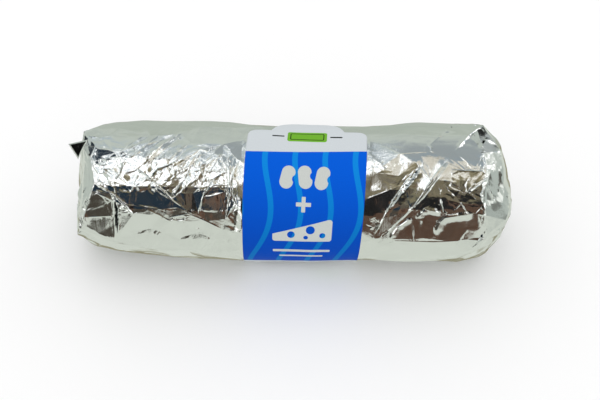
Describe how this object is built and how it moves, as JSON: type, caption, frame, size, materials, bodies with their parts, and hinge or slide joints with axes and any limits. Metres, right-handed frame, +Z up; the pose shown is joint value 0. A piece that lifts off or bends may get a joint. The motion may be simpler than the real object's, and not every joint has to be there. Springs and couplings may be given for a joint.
{
  "type": "foil-wrapped taco",
  "caption": "Rolled bean and cheese taco shut in crumpled kitchen foil, lying on its side, with a paper wrap label round the middle.",
  "frame": {"origin": "on the table, under the middle of the roll's box", "axes": "+X along the roll towards its rounded end, +Y to the back, away from the label's print, +Z up"},
  "size_m": [0.148, 0.0491, 0.0455],
  "materials": {
    "foil": "bright crumpled foil",
    "label_paper": "satin printed paper"
  },
  "bodies": {
    "root": {"foil_wrap": "foil", "paper_label": "label_paper"}
  },
  "joints": []
}
